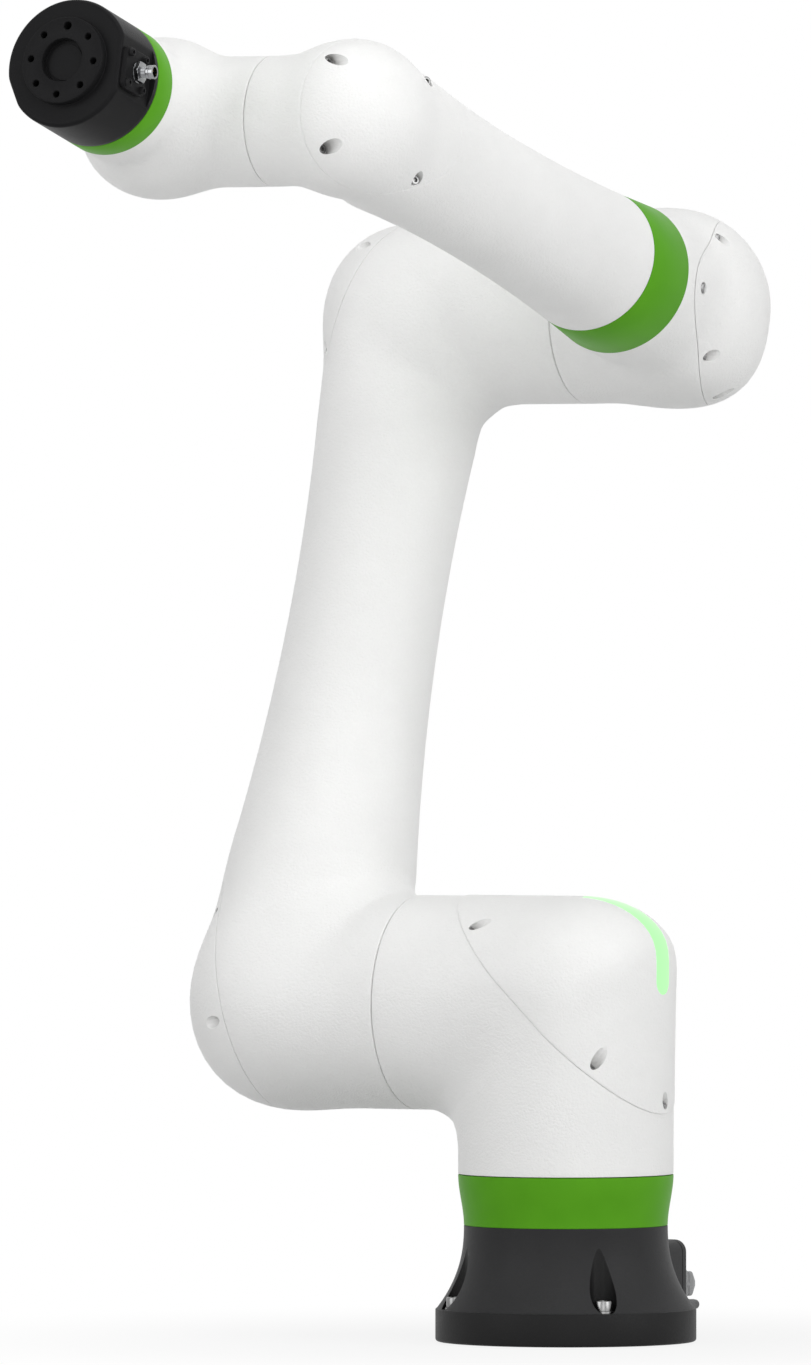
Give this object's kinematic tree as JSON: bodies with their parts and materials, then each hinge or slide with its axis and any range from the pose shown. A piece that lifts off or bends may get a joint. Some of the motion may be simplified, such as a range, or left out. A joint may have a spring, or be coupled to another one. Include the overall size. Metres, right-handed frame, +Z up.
{
  "type": "articulated robot arm",
  "caption": "White collaborative articulated robot arm with rounded tubular links, green rings at the roll joints, a black flared foot and a round bolt-on tool flange.",
  "frame": {"origin": "centre of the foot plate's underside, on the base turning axis", "axes": "+Z up the base axis, +X along the shoulder, elbow and wrist pitch axes, the forearm reaching towards -Y"},
  "size_m": [0.3947, 0.7577, 0.9598],
  "materials": {
    "shell_white": "satin white paint",
    "ring_green": "satin green plastic",
    "base_paint": "fine textured black paint",
    "connector_grey": "grey plastic",
    "lamp_lens": "translucent pale green",
    "flange_black": "black anodised",
    "connector_steel": "plated"
  },
  "bodies": {
    "base": {"base_casting": "base_paint", "base_ring": "ring_green", "connector_box": "base_paint", "power_connector": "connector_grey", "cable_fitting": "connector_grey"},
    "shoulder": {"shoulder_housing": "shell_white", "shoulder_cover": "shell_white", "status_light": "lamp_lens"},
    "upper_arm": {"upper_arm_casting": "shell_white", "upper_arm_low_cover": "shell_white", "upper_arm_top_cover": "shell_white"},
    "elbow": {"elbow_housing": "shell_white", "elbow_cover": "shell_white", "elbow_ring": "ring_green"},
    "forearm": {"forearm_tube": "shell_white", "forearm_cover": "shell_white"},
    "wrist": {"wrist_housing": "shell_white", "wrist_ring": "ring_green"},
    "flange": {"flange_housing": "flange_black", "tool_plate": "flange_black", "connector_plate": "flange_black", "tool_connector": "connector_steel"}
  },
  "joints": [
    {"name": "base_turn", "type": "hinge", "parent": "base", "child": "shoulder", "pos_m": [0, 0, 0.245], "axis": [0, 0, 1], "range_deg": [-190, 190]},
    {"name": "shoulder_pitch", "type": "hinge", "parent": "shoulder", "child": "upper_arm", "pos_m": [0, 0, 0.245], "axis": [1, 0, 0], "range_deg": [-159.57, 200.43]},
    {"name": "elbow_pitch", "type": "hinge", "parent": "upper_arm", "child": "elbow", "pos_m": [0, 0.18849, 0.75103], "axis": [1, 0, 0], "range_deg": [-241.9, 48.1]},
    {"name": "forearm_roll", "type": "hinge", "parent": "elbow", "child": "forearm", "pos_m": [0, -0.33652, 0.87737], "axis": [0, -0.9722, 0.234], "range_deg": [-190, 190]},
    {"name": "wrist_pitch", "type": "hinge", "parent": "forearm", "child": "wrist", "pos_m": [0, -0.33652, 0.87737], "axis": [1, 0, 0], "range_deg": [-179.23, 180.77]},
    {"name": "flange_roll", "type": "hinge", "parent": "wrist", "child": "flange", "pos_m": [-0.15, -0.49156, 0.91689], "axis": [0, -0.969, 0.247], "range_deg": [-190, 190]}
  ]
}
